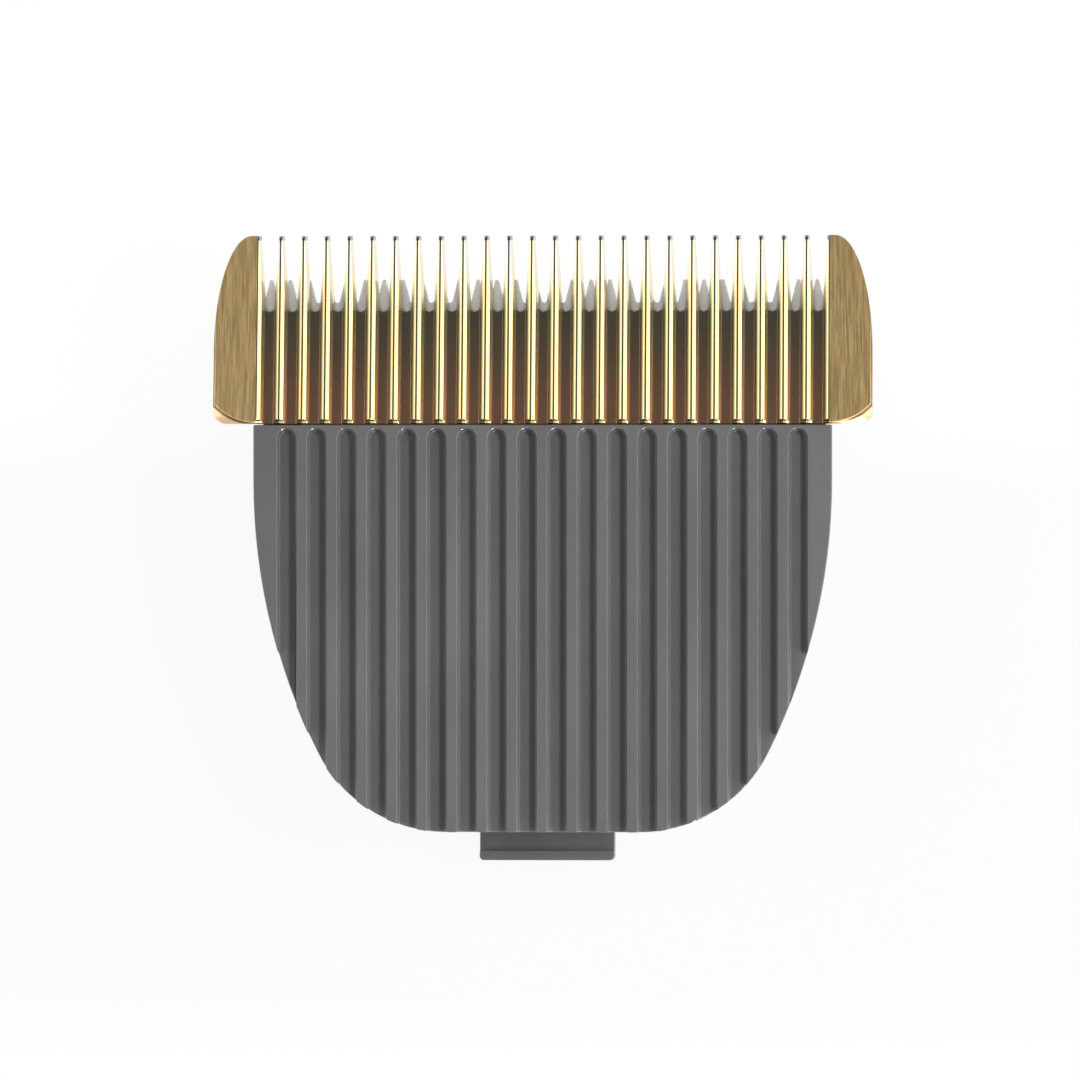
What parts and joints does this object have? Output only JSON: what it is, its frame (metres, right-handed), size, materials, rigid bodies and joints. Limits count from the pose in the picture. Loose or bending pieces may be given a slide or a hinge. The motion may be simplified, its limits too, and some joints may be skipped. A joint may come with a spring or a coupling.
{
  "type": "hair clipper blade",
  "caption": "Clip-on hair clipper blade set: a gold comb blade and a sliding white ceramic cutter on a fluted grey holder with a hollow back, a drive fork and a hook at the tail.",
  "frame": {"origin": "centre of the bounding box's base, in the plane of the holder's rim", "axes": "+X across the teeth, +Y toward the tooth tips, +Z out of the fluted face"},
  "size_m": [0.046, 0.0438, 0.0104],
  "materials": {
    "holder_plastic": "moulded, satin",
    "coated_steel": "gold nitride coating, polished ridges and brushed cheeks",
    "ceramic": "ground white ceramic",
    "carrier_plastic": "moulded, satin",
    "spring_steel": "drawn wire",
    "screw_steel": "zinc plated"
  },
  "bodies": {
    "holder": {"blade_holder": "holder_plastic", "comb_blade": "coated_steel", "tension_spring": "spring_steel", "clamp_screws": "screw_steel"},
    "cutter": {"cutter_blade": "ceramic", "drive_carrier": "carrier_plastic"}
  },
  "joints": [
    {"name": "cutter_slide", "type": "slide", "parent": "holder", "child": "cutter", "axis": [1, 0, 0], "range_m": [-0.0012, 0.0012]}
  ]
}
